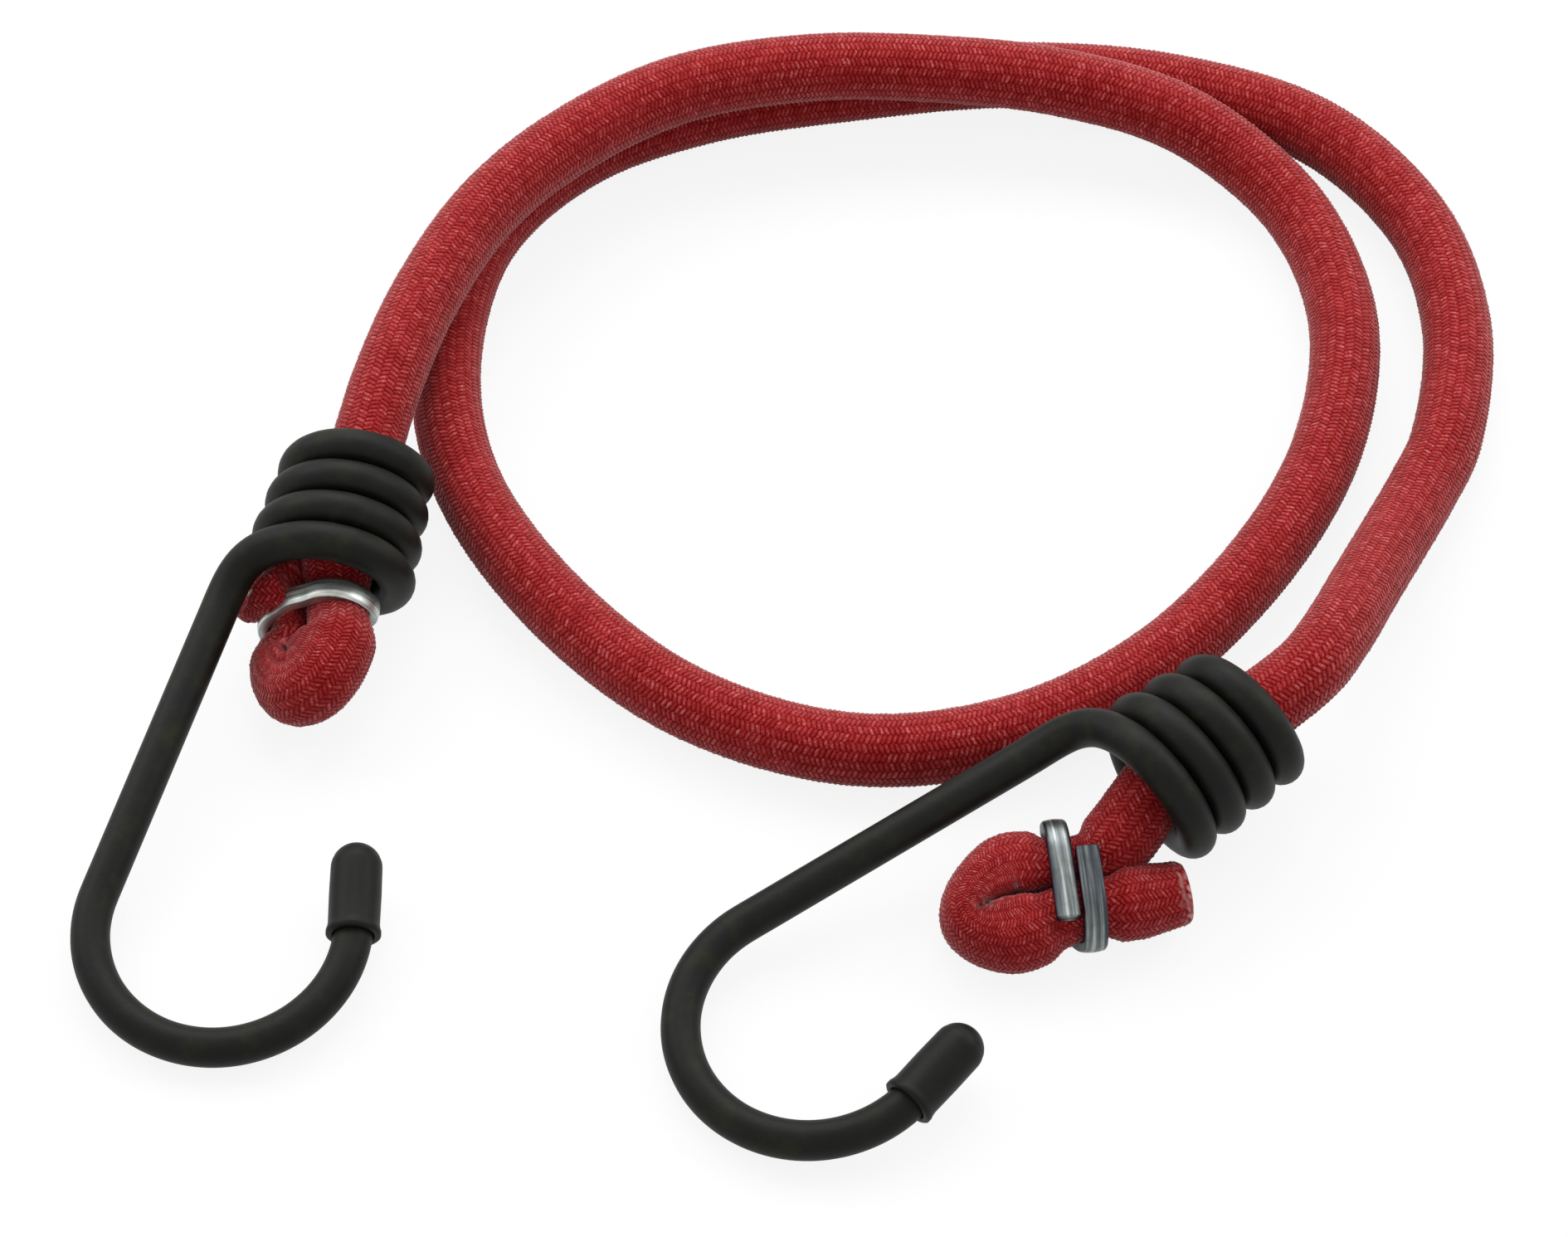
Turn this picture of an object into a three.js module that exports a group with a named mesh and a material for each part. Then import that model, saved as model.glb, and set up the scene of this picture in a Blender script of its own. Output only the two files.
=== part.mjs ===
// Bungee cord: a braided elastic cord lying in a loose loop, with a coiled wire hook on each end.
// Millimetres, +Z up. The cord and both hooks lie on the plane z = 0, and the origin is under the
// middle of the two hook ends.
import * as THREE from "three";

// Cord: a hollow braided sheath round a bundle of rubber strands
const CORD_DIAMETER = 8;
const SHEATH_WALL = 1;
const CORD_SIDES = 10;
const CORD_STEP = 12;
const END_STEP = 2;
const LEAD_LENGTH = 56;

// Fits
const CLEARANCE = 0.3;
const FLOOR_GAP = 0.05;

// Facets of curves: points to a turn of the coil, along the shank, its fillet and a half turn, and
// the angles of a cap's dome
const COIL_POINTS = 24;
const SHANK_POINTS = 6;
const FILLET_POINTS = 8;
const BEND_POINTS = 18;
const HALF_TURN_POINTS = 8;
const DOME_ANGLES = [0, 25, 50, 72];
const ARC_DIVISIONS = 2000;

// Hook: coated steel wire, wound into a conical coil round the cord
const WIRE_DIAMETER = 4.2;
const WIRE_SIDES = 8;
const WIRE_STEP = 2.3;
const COIL_TURNS = 3.6;
const COIL_GAP = 0.48;
const COIL_FLARE = 1.2;
const COIL_EXIT_ANGLE = 120;
const SHANK_OFFSET = 10.2;
const SHANK_RISE = 1.7;
const SHANK_FILLET = 8;
const FILLET_HANDLE_AT_COIL = 6;
const FILLET_HANDLE_AT_SHANK = 4.8;
const BEND_RADIUS = 13.9;
const BEND_FORWARD = 43.5;
const TIP_TURN = 12;
const TIP_LENGTH = 6.5;

// Tip cap: a soft sleeve with a domed end
const CAP_LENGTH = 10.8;
const CAP_WALL = 0.35;
const CAP_SIDES = 14;
const CAP_LIP = 0.15;
const CAP_LIP_LENGTH = 1.2;

// Hog ring: flat wire closed round the two strands of a stop loop, its legs side by side
const RING_WIDTH = 2.4;
const RING_THICKNESS = 1.4;
const RING_CHAMFER = 0.4;
const RING_LEG_SPACING = 2.9;
const RING_LEG_PAST_MIDDLE = 4.6;
const RING_CLEARANCE = 0.5;
const STRAND_PINCH = 0.9;
const PINCH_MARGIN = 0.4;
const STRAIGHT_MARGIN = 0.6;
const PINCH_RAMP = 3;
const STRAND_GAP = 0.4;
const FOLD_GAP = 0.6;

// Where the two hooks lie: the coil's front on the floor plan, its heading and its stop loop.
// A stop loop has its ring's middle ahead of the coil and to its left, the turn, roll and slant of
// the ring, the reach of the fold past the ring and its droop, and points of its tail on the floor.
const LEFT = {
  front: [-41.0, 24.5],
  heading: -102,
  ring: { ahead: 4.9, left: -0.2, turn: 8, roll: 38, slant: -1, tailSide: -1 },
  fold: { reach: 5.4, droop: 0 },
  tail: [
    [2.9, -3.6],
    [2.2, -5.2],
    [2, -8.8],
  ],
};
const RIGHT = {
  front: [47.2, -3.8],
  heading: -144,
  ring: { ahead: 11.9, left: 3.7, turn: -26, roll: 0, slant: 1, tailSide: 1 },
  fold: { reach: 6.3, droop: 0.8 },
  tail: [
    [7, 9.4],
    [3.2, 11],
  ],
};

// Route of the free cord between the two coils: over itself along the back, round the loop and
// back under, then up into the right-hand coil
const ROUTE = [
  [-35.4, 50.4, 12.3],
  [-31.8, 62.4, 12.5],
  [-25.6, 75.5, 12.5],
  [-16.9, 86.1, 12.1],
  [-3.6, 95.2, 12.0],
  [12.2, 99.0, 11.9],
  [27.1, 99.7, 11.0],
  [41.7, 98.7, 9.8],
  [55.2, 95.5, 7.7],
  [64.6, 89.8, 4.9],
  [70.8, 80.8, 4.05],
  [74.1, 65.7, 4.05],
  [71.2, 47.9, 4.05],
  [62.6, 31.1, 4.05],
  [49.3, 16.1, 4.05],
  [34.4, 7.5, 4.05],
  [17.2, 5.1, 4.05],
  [-0.4, 10.9, 4.05],
  [-15.1, 23.6, 4.05],
  [-26.6, 42.0, 4.05],
  [-29.7, 60.5, 4.05],
  [-25.9, 79.2, 4.05],
  [-15.0, 92.2, 4.05],
  [-0.4, 99.4, 4.05],
  [17.3, 103.2, 4.05],
  [36.4, 105.3, 4.05],
  [55.2, 103.5, 4.05],
  [72.7, 96.2, 4.05],
  [83.9, 81.7, 4.05],
  [87.2, 65.4, 4.05],
  [84.6, 48.4, 4.05],
  [81.1, 40.6, 4.3],
  [77.1, 32.5, 5.8],
  [73.2, 24.3, 8.3],
  [69.3, 16.0, 10.8],
  [65.9, 10.5, 11.7],
];

const cordRadius = CORD_DIAMETER / 2;
const wireRadius = WIRE_DIAMETER / 2;
const coilPitch = WIRE_DIAMETER + COIL_GAP;
const coilRearRadius = cordRadius + CLEARANCE + wireRadius;
const coilFrontRadius = coilRearRadius + COIL_FLARE;
const coilLength = COIL_TURNS * coilPitch;
const bendReach = BEND_FORWARD + BEND_RADIUS;
const capBore = wireRadius + CLEARANCE;
const capDepth = CAP_LENGTH - capBore - CAP_WALL;
const pinchedRadius = cordRadius - STRAND_PINCH;
const pinchHalf = (RING_LEG_SPACING + RING_WIDTH) / 2 + PINCH_MARGIN;
const strandOffset = pinchedRadius + STRAND_GAP / 2;
const foldRadius = cordRadius + FOLD_GAP / 2;
const ringEndRadius = pinchedRadius + RING_CLEARANCE + RING_THICKNESS / 2;

// The lowest point of the coil is under its front turn. The hook dips until that point and the end
// of its bend both lie on the floor.
const lowestTurn = (COIL_EXIT_ANGLE + 90) / 360;
const coilDepth = coilFrontRadius - (COIL_FLARE * lowestTurn) / COIL_TURNS + wireRadius;
const restSpan = bendReach + lowestTurn * coilPitch;
const hookDip =
  Math.atan2(coilDepth, restSpan) - Math.asin(wireRadius / Math.hypot(coilDepth, restSpan));
const axisHeight = FLOOR_GAP + wireRadius + bendReach * Math.sin(hookDip);

const colours = {
  sheath: new THREE.MeshStandardMaterial({ color: 0xa5282d, roughness: 0.85, metalness: 0 }),
  rubber: new THREE.MeshStandardMaterial({ color: 0xd8c9a8, roughness: 0.7, metalness: 0 }),
  coating: new THREE.MeshStandardMaterial({ color: 0x232624, roughness: 0.55, metalness: 0 }),
  vinyl: new THREE.MeshStandardMaterial({ color: 0x141515, roughness: 0.45, metalness: 0 }),
  zinc: new THREE.MeshStandardMaterial({ color: 0x9a9f9c, roughness: 0.35, metalness: 1 }),
};

const radians = THREE.MathUtils.degToRad;

function polygon(radius, sides) {
  const points = [];
  for (let i = 0; i < sides; i += 1) {
    const angle = ((i + 0.5) / sides) * 2 * Math.PI;
    points.push(new THREE.Vector2(radius * Math.cos(angle), radius * Math.sin(angle)));
  }
  return points;
}

function smoothCurve(points) {
  const curve = new THREE.CatmullRomCurve3(points, false, "centripetal");
  curve.arcLengthDivisions = ARC_DIVISIONS;
  return curve;
}

// The part of a curve between two distances along it
class Stretch extends THREE.Curve {
  constructor(whole, from, to) {
    super();
    const length = whole.getLength();
    this.whole = whole;
    this.from = from / length;
    this.to = to / length;
    this.arcLengthDivisions = ARC_DIVISIONS;
  }

  getPoint(t, target) {
    return this.whole.getPointAt(THREE.MathUtils.lerp(this.from, this.to, t), target);
  }
}

// A constant section along a path
function extrude(shape, path, step) {
  const steps = Math.max(2, Math.round(path.getLength() / step));
  return new THREE.ExtrudeGeometry(shape, { steps, extrudePath: path, bevelEnabled: false });
}

// A closed skin through rings of points, from the first ring's cap to the last ring's
function skin(rings) {
  const sides = rings[0].length;
  const positions = rings.flat().flatMap((point) => point.toArray());
  const faces = [];
  for (let r = 0; r + 1 < rings.length; r += 1) {
    for (let i = 0; i < sides; i += 1) {
      const a = r * sides + i;
      const b = r * sides + ((i + 1) % sides);
      faces.push(a, b, b + sides, a, b + sides, a + sides);
    }
  }
  return { positions, faces, sides, last: (rings.length - 1) * sides };
}

function geometry(positions, faces) {
  const built = new THREE.BufferGeometry();
  built.setAttribute("position", new THREE.Float32BufferAttribute(positions, 3));
  built.setIndex(faces);
  return built;
}

function solidLoft(rings) {
  const { positions, faces, sides, last } = skin(rings);
  for (let i = 1; i + 1 < sides; i += 1) {
    faces.push(0, i + 1, i, last, last + i, last + i + 1);
  }
  return geometry(positions, faces);
}

function hollowLoft(outerRings, innerRings) {
  const outer = skin(outerRings);
  const inner = skin(innerRings);
  const shift = outer.positions.length / 3;
  const faces = [...outer.faces];
  for (let f = 0; f < inner.faces.length; f += 3) {
    faces.push(shift + inner.faces[f], shift + inner.faces[f + 2], shift + inner.faces[f + 1]);
  }
  for (let i = 0; i < outer.sides; i += 1) {
    const j = (i + 1) % outer.sides;
    faces.push(i, shift + j, j, i, shift + i, shift + j);
    const a = outer.last + i;
    const b = outer.last + j;
    const c = shift + inner.last + i;
    const d = shift + inner.last + j;
    faces.push(a, b, d, a, d, c);
  }
  return geometry([...outer.positions, ...inner.positions], faces);
}

// Rings of a round section along a path, whose radius follows the distance along it
function ringsAlong(path, steps, sides, radiusAt) {
  const frames = path.computeFrenetFrames(steps, false);
  const length = path.getLength();
  const section = polygon(1, sides);
  const rings = [];
  for (let s = 0; s <= steps; s += 1) {
    const centre = path.getPointAt(s / steps);
    const radius = radiusAt((s / steps) * length);
    const ring = section.map((corner) =>
      centre
        .clone()
        .addScaledVector(frames.normals[s], radius * corner.x)
        .addScaledVector(frames.binormals[s], radius * corner.y),
    );
    rings.push(ring);
  }
  return rings;
}

// A hook's frame: +X forward along the coil's axis from the coil's front, +Y left, +Z up, dipping
// so that the coil's front and the end of the bend both lie on the floor
function hookMatrix({ front, heading }) {
  const turn = new THREE.Matrix4().makeRotationZ(radians(heading));
  const dip = new THREE.Matrix4().makeRotationY(hookDip);
  const place = new THREE.Matrix4().makeTranslation(front[0], front[1], axisHeight);
  return place.multiply(turn).multiply(dip);
}

function coilPoint(turnsBack) {
  const angle = radians(COIL_EXIT_ANGLE - 360 * turnsBack);
  const radius = coilFrontRadius - (COIL_FLARE * turnsBack) / COIL_TURNS;
  const along = -turnsBack * coilPitch;
  return new THREE.Vector3(along, radius * Math.cos(angle), radius * Math.sin(angle));
}

// Centre-line of the wire: straight cut end, coil, fillet, shank, bend and straight tip
function wirePoints() {
  const points = [];
  const coilSteps = Math.round(COIL_TURNS * COIL_POINTS);
  for (let i = 0; i <= coilSteps; i += 1) {
    points.push(coilPoint(COIL_TURNS * (1 - i / coilSteps)));
  }
  const rearRun = points[0].clone().sub(points[1]).setLength(WIRE_DIAMETER);
  points.unshift(points[0].clone().add(rearRun));

  const coilEnd = points[points.length - 1];
  const coilTangent = coilEnd.clone().sub(points[points.length - 2]).normalize();
  const bendCentre = new THREE.Vector3(BEND_FORWARD, 0, 0);
  const shankStart = new THREE.Vector3(SHANK_FILLET, -SHANK_OFFSET, SHANK_RISE);
  const bendStartAngle = -Math.PI / 2 - Math.atan((BEND_RADIUS - SHANK_OFFSET) / BEND_FORWARD);
  const onBend = (angle) =>
    new THREE.Vector3(Math.cos(angle), Math.sin(angle), 0)
      .multiplyScalar(BEND_RADIUS)
      .add(bendCentre);
  const bendStart = onBend(bendStartAngle);
  const shankTangent = bendStart.clone().sub(shankStart).normalize();
  const fillet = new THREE.CubicBezierCurve3(
    coilEnd,
    coilEnd.clone().addScaledVector(coilTangent, FILLET_HANDLE_AT_COIL),
    shankStart.clone().addScaledVector(shankTangent, -FILLET_HANDLE_AT_SHANK),
    shankStart,
  );
  points.push(...fillet.getPoints(FILLET_POINTS).slice(1));
  const shank = new THREE.LineCurve3(shankStart, bendStart);
  points.push(...shank.getPoints(SHANK_POINTS).slice(1));

  const bendEndAngle = Math.PI / 2 + radians(TIP_TURN);
  for (let i = 1; i <= BEND_POINTS; i += 1) {
    points.push(onBend(THREE.MathUtils.lerp(bendStartAngle, bendEndAngle, i / BEND_POINTS)));
  }
  const tipDirection = new THREE.Vector3(-Math.sin(bendEndAngle), Math.cos(bendEndAngle), 0);
  const bendEnd = points[points.length - 1];
  for (const along of [TIP_LENGTH / 3, (TIP_LENGTH * 2) / 3, TIP_LENGTH]) {
    points.push(bendEnd.clone().addScaledVector(tipDirection, along));
  }
  return { points, bendCentre, tipDirection };
}

// Least gap between neighbouring turns of the coil, measured on points of its centre-line
function coilSelfGap() {
  let least = Infinity;
  const stride = 1 / (2 * COIL_POINTS);
  for (let back = 0; back <= COIL_TURNS; back += stride) {
    for (let other = back + 0.6; other <= COIL_TURNS; other += stride) {
      least = Math.min(least, coilPoint(back).distanceTo(coilPoint(other)));
    }
  }
  return least - WIRE_DIAMETER;
}

// The section is turned so that a flat side faces the middle of the bend
function hookGeometry() {
  const { points, bendCentre } = wirePoints();
  const path = smoothCurve(points);
  const steps = Math.round(path.getLength() / WIRE_STEP);
  const frames = path.computeFrenetFrames(steps, false);
  let middle = 0;
  for (let s = 0; s <= steps; s += 1) {
    if (path.getPointAt(s / steps).x > path.getPointAt(middle / steps).x) middle = s;
  }
  const inward = bendCentre.clone().sub(path.getPointAt(middle / steps));
  const turn = Math.atan2(inward.dot(frames.binormals[middle]), inward.dot(frames.normals[middle]));
  const corners = polygon(wireRadius, WIRE_SIDES);
  const centre = new THREE.Vector2();
  const section = new THREE.Shape(corners.map((corner) => corner.rotateAround(centre, turn)));
  return new THREE.ExtrudeGeometry(section, { steps, extrudePath: path, bevelEnabled: false });
}

// Revolved about +Y, from the mouth at y = 0 to the dome
function capGeometry() {
  const outside = capBore + CAP_WALL;
  const profile = [
    [0, capDepth],
    [capBore, capDepth],
    [capBore, 0],
    [outside + CAP_LIP, 0],
    [outside + CAP_LIP, CAP_LIP_LENGTH],
    [outside, CAP_LIP_LENGTH + CAP_LIP],
  ];
  for (const angle of DOME_ANGLES) {
    const across = outside * Math.cos(radians(angle));
    profile.push([across, capDepth + outside * Math.sin(radians(angle))]);
  }
  profile.push([0, CAP_LENGTH]);
  const points = profile.map(([x, y]) => new THREE.Vector2(x, y));
  return new THREE.LatheGeometry(points, CAP_SIDES);
}

// A place beside a hook: so far ahead of its coil and to its left, at a height over the floor
function besideHook({ front, heading }, ahead, left, height) {
  const level = new THREE.Matrix4().makeRotationZ(radians(heading));
  const place = new THREE.Vector3(ahead, left, 0).applyMatrix4(level);
  return place.add(new THREE.Vector3(front[0], front[1], height));
}

// The ring's middle and directions: through it along the strands towards the fold, across it from
// the main strand to the tail, and out of the face where its legs lie
function ringFrame(end) {
  const { ahead, left, turn, roll, tailSide } = end.ring;
  const rolled = radians(roll);
  const depth = strandOffset * Math.sin(rolled) + ringEndRadius + RING_THICKNESS / 2;
  const middle = besideHook(end, ahead, left, FLOOR_GAP + depth);
  const upright = new THREE.Vector3(0, 0, 1);
  const through = new THREE.Vector3(1, 0, 0).applyAxisAngle(upright, radians(end.heading + turn));
  const across = new THREE.Vector3().crossVectors(upright, through).multiplyScalar(tailSide);
  across.applyAxisAngle(through, rolled);
  const out = new THREE.Vector3().crossVectors(through, across);
  return { middle, through, across, out };
}

// How far the ring's turn round the main strand lies ahead of its middle, and behind it on the tail
function ringShift({ ring }) {
  return (ring.slant * RING_LEG_SPACING) / 2;
}

// Centre-line of a stop loop: out of the coil, through the ring, round the fold, back through the
// ring to the cut tail
function stopLoopPath(end) {
  const hook = hookMatrix(end);
  const { middle, through, across } = ringFrame(end);
  const { reach, droop } = end.fold;
  const beside = (ahead, side) => {
    const point = middle.clone().addScaledVector(through, ahead).addScaledVector(across, side);
    point.z -= Math.max(0, ahead / (reach + foldRadius)) * droop;
    return point;
  };
  const points = [];
  for (const along of [-coilLength / 2 + CLEARANCE / 2, -coilLength / 4]) {
    points.push(new THREE.Vector3(along, 0, 0).applyMatrix4(hook));
  }
  const held = ringShift(end);
  const straightHalf = RING_WIDTH / 2 + STRAIGHT_MARGIN;
  points.push(beside(-pinchHalf, -strandOffset));
  points.push(beside(held + straightHalf, -strandOffset));
  for (let i = 0; i <= HALF_TURN_POINTS; i += 1) {
    const angle = (i / HALF_TURN_POINTS) * Math.PI;
    points.push(beside(reach + foldRadius * Math.sin(angle), -foldRadius * Math.cos(angle)));
  }
  points.push(beside(-held + straightHalf, strandOffset));
  points.push(beside(-held - straightHalf, strandOffset));
  for (const [ahead, left] of end.tail) {
    points.push(besideHook(end, ahead, left, FLOOR_GAP + cordRadius));
  }
  return smoothCurve(points);
}

// The cord's radius along a stop loop: pinched as far as the ring's two legs reach
function pinchAlong(path, end) {
  const { middle, through } = ringFrame(end);
  const length = path.getLength();
  return (distance) => {
    const offset = path.getPointAt(Math.min(1, distance / length)).sub(middle);
    const fromRing = Math.abs(offset.dot(through)) - pinchHalf;
    return pinchedRadius + STRAND_PINCH * THREE.MathUtils.smoothstep(fromRing, 0, PINCH_RAMP);
  };
}

function stopLoop(end) {
  const path = stopLoopPath(end);
  const radiusAt = pinchAlong(path, end);
  const steps = Math.round(path.getLength() / END_STEP);
  const boreAt = (distance) => radiusAt(distance) - SHEATH_WALL;
  const coreAt = (distance) => boreAt(distance) - CLEARANCE;
  const sheath = hollowLoft(
    ringsAlong(path, steps, CORD_SIDES, radiusAt),
    ringsAlong(path, steps, CORD_SIDES, boreAt),
  );
  const core = solidLoft(ringsAlong(path, steps, CORD_SIDES, coreAt));
  return { sheath, core };
}

// Flat wire bent into a long ring: one leg on the face that shows, round the main strand, along
// the back, round the tail, and the other leg beside the first
function ringGeometry(end) {
  const { middle, through, across, out } = ringFrame(end);
  const stations = [];
  const addStation = (side, lift, angle, share) => {
    const outward = across.clone().multiplyScalar(Math.cos(angle));
    outward.addScaledVector(out, Math.sin(angle));
    const shift = ringShift(end) * (1 - 2 * share);
    const centre = middle
      .clone()
      .addScaledVector(through, shift)
      .addScaledVector(across, side)
      .addScaledVector(out, lift);
    stations.push({ centre, outward });
  };
  const up = Math.PI / 2;
  addStation(RING_LEG_PAST_MIDDLE, ringEndRadius, up, 0);
  for (let i = 0; i <= HALF_TURN_POINTS; i += 1) {
    const angle = up + (i / HALF_TURN_POINTS) * Math.PI;
    const side = -strandOffset + ringEndRadius * Math.cos(angle);
    addStation(side, ringEndRadius * Math.sin(angle), angle, 0);
  }
  for (let i = 0; i <= HALF_TURN_POINTS; i += 1) {
    const angle = -up + (i / HALF_TURN_POINTS) * Math.PI;
    const side = strandOffset + ringEndRadius * Math.cos(angle);
    addStation(side, ringEndRadius * Math.sin(angle), angle, 1);
  }
  addStation(-RING_LEG_PAST_MIDDLE, ringEndRadius, up, 1);
  const halfWidth = RING_WIDTH / 2;
  const halfThickness = RING_THICKNESS / 2;
  const section = [
    [halfWidth, halfThickness - RING_CHAMFER],
    [halfWidth - RING_CHAMFER, halfThickness],
    [RING_CHAMFER - halfWidth, halfThickness],
    [-halfWidth, halfThickness - RING_CHAMFER],
    [-halfWidth, -halfThickness],
    [halfWidth, -halfThickness],
  ];
  const rings = stations.map(({ centre, outward }) =>
    section.map(([x, y]) =>
      centre.clone().addScaledVector(through, x).addScaledVector(outward, y),
    ),
  );
  return solidLoft(rings);
}

const group = new THREE.Group();

function add(name, shape, material) {
  const mesh = new THREE.Mesh(shape, material);
  mesh.name = name;
  group.add(mesh);
  return mesh;
}

// Free cord: the loop, and the lead into the right-hand coil, which takes up the stretch
function addFreeCord() {
  const rearEnd = -coilLength - wireRadius;
  const inLeftCoil = [-coilLength / 2 - CLEARANCE / 2, -coilLength * 0.75, rearEnd];
  const inRightCoil = [...inLeftCoil].reverse();
  const onAxis = (end) => (along) => new THREE.Vector3(along, 0, 0).applyMatrix4(hookMatrix(end));
  const path = smoothCurve([
    ...inLeftCoil.map(onAxis(LEFT)),
    ...ROUTE.map((point) => new THREE.Vector3(...point)),
    ...inRightCoil.map(onAxis(RIGHT)),
  ]);
  const length = path.getLength();
  const leadStart = length - LEAD_LENGTH;
  const loop = new Stretch(path, 0, leadStart - CLEARANCE / 2);
  const lead = new Stretch(path, leadStart + CLEARANCE / 2, length);
  const sheathSection = new THREE.Shape(polygon(cordRadius, CORD_SIDES));
  sheathSection.holes.push(new THREE.Path(polygon(cordRadius - SHEATH_WALL, CORD_SIDES)));
  const coreRadius = cordRadius - SHEATH_WALL - CLEARANCE;
  const coreSection = new THREE.Shape(polygon(coreRadius, CORD_SIDES));
  add("cord_loop_sheath", extrude(sheathSection, loop, CORD_STEP), colours.sheath);
  add("cord_loop_core", extrude(coreSection, loop, CORD_STEP), colours.rubber);
  add("cord_lead_sheath", extrude(sheathSection, lead, CORD_STEP / 2), colours.sheath);
  add("cord_lead_core", extrude(coreSection, lead, CORD_STEP / 2), colours.rubber);
  return length;
}

function addEnd(side, end) {
  const { sheath, core } = stopLoop(end);
  add(`${side}_end_sheath`, sheath, colours.sheath);
  add(`${side}_end_core`, core, colours.rubber);
  add(`${side}_hog_ring`, ringGeometry(end), colours.zinc);

  const hook = new THREE.Group();
  hook.applyMatrix4(hookMatrix(end));
  const wire = new THREE.Mesh(hookGeometry(), colours.coating);
  wire.name = `${side}_hook_wire`;
  const { points, tipDirection } = wirePoints();
  const cap = new THREE.Mesh(capGeometry(), colours.vinyl);
  cap.name = `${side}_tip_cap`;
  cap.position.copy(points[points.length - 1]).addScaledVector(tipDirection, CLEARANCE - capDepth);
  cap.quaternion.setFromUnitVectors(new THREE.Vector3(0, 1, 0), tipDirection);
  hook.add(wire, cap);
  group.add(hook);
}

const cordLength = addFreeCord();
addEnd("left", LEFT);
addEnd("right", RIGHT);

console.log(`least gap between the coil's turns ${coilSelfGap().toFixed(2)} mm`);
console.log(`free cord ${cordLength.toFixed(1)} mm from coil to coil`);

export default group;
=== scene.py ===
# Bungee cord: a braided elastic cord lying in a loose loop, with a coiled wire hook on each end.
# Metres and degrees, +Z up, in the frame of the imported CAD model.
import math

import bpy
import numpy as np
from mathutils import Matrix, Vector


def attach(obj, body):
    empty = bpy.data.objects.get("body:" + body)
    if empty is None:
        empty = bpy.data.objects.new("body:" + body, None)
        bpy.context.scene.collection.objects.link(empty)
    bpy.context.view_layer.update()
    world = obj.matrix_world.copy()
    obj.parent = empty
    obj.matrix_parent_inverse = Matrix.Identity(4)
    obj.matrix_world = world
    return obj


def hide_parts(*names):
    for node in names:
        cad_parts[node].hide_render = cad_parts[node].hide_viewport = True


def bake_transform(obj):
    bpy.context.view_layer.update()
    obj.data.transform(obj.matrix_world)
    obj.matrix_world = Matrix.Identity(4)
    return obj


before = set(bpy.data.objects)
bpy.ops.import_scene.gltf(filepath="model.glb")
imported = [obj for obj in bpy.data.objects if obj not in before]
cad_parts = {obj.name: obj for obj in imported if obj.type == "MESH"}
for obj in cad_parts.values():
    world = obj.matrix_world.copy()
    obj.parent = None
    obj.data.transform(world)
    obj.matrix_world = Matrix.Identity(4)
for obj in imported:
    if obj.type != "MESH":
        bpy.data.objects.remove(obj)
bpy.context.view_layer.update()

# Camera of the photograph
CAMERA_PLACE = (0.0092, -0.2870, 0.4153)
CAMERA_TARGET = (0.0092, 0.0259, 0.0)
CAMERA_LENS = 106.97
SENSOR_WIDTH = 36.0
CLIP_START = 0.01
CLIP_END = 20.0

# Cord
CORD_RADIUS = 0.004
LEAD_LENGTH = 0.056
FLOOR_GAP = 0.00005

# Braid: columns of stitches round the cord, which slant to and fro by so many rows of points
COLUMNS = 24
COLUMN_POINTS = 2
STITCH = 0.00056
STITCH_ROWS = 2
STITCH_SLANT = 0.6
FOLD_SLANT = 1.0
SLANT_FADE = 4.0
STITCH_CREST = 0.00007
LEAST_CREST = 0.5
STITCH_VALLEY = -0.00005
STITCH_EDGE = -0.00005
LUMP_SIZE = 0.00004
LUMP_TURN = 0.031
BRAID_SEED = 7

# Edges that turn by more than these angles are sharp
BRAID_SHARPNESS = 75.0
WIRE_SHARPNESS = 50.0
CAP_SHARPNESS = 60.0
RING_SHARPNESS = 35.0
STRAND_SHARPNESS = 50.0

# Hook wire and its coil
WIRE_RADIUS = 0.0021
WIRE_SIDES = 24
WIRE_STEP = 0.0006
COIL_TURNS = 3.6
COIL_PITCH = 0.00425
COIL_POINTS = 48
COIL_REAR_RADIUS = 0.0064
COIL_FRONT_RADIUS = 0.0076
COIL_EXIT_ANGLE = 120.0
SHANK_OFFSET = 0.0102
SHANK_RISE = 0.0017
SHANK_FILLET = 0.008
SHANK_POINTS = 12
FILLET_HANDLE_AT_COIL = 0.006
FILLET_HANDLE_AT_SHANK = 0.0048
FILLET_POINTS = 12
BEND_RADIUS = 0.0139
BEND_FORWARD = 0.0435
BEND_POINTS = 50
TIP_TURN = 12.0
TIP_LENGTH = 0.0065
TIP_POINTS = 3
REAR_RUN = 0.0042
COAT_THICKNESS = 0.0005
CUT_BEVEL = 0.0002
STEEL_SET_BACK = 0.0001
STEEL_EDGE = 0.00006

# How the hooks lie in the CAD model, with the length of their coils there
HOOK_DIP = 7.0063
AXIS_HEIGHT = 0.00915157
CAD_COIL_LENGTH = 0.016848
JOINT_GAP = 0.0003

# Tip cap. Its mouth is given in lips: out and up from the bore, and from the edge of the lip.
CAP_LENGTH = 0.0108
CAP_DEPTH = 0.00805
CAP_BORE = 0.00216
CAP_RADIUS = 0.00275
CAP_LIP = 0.00018
CAP_SIDES = 40
MOUTH_INSIDE = ((0.0, 1.0), (0.6, 0.2), (1.4, 0.0))
MOUTH_OUTSIDE = ((-1.0, 0.15), (0.0, 1.0), (0.0, 3.4), (-0.6, 5.2))
NECK_LIPS = 8.0
SWELL_LIPS = 0.2
SWELL_SHARE = 0.45
DOME_ANGLE = 84.0
DOME_POINTS = 22
SEAM_BELOW_TOP = 0.0017
SEAM_DEPTH_LIPS = 0.3
SEAM_HALF_LIPS = 0.5

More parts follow.
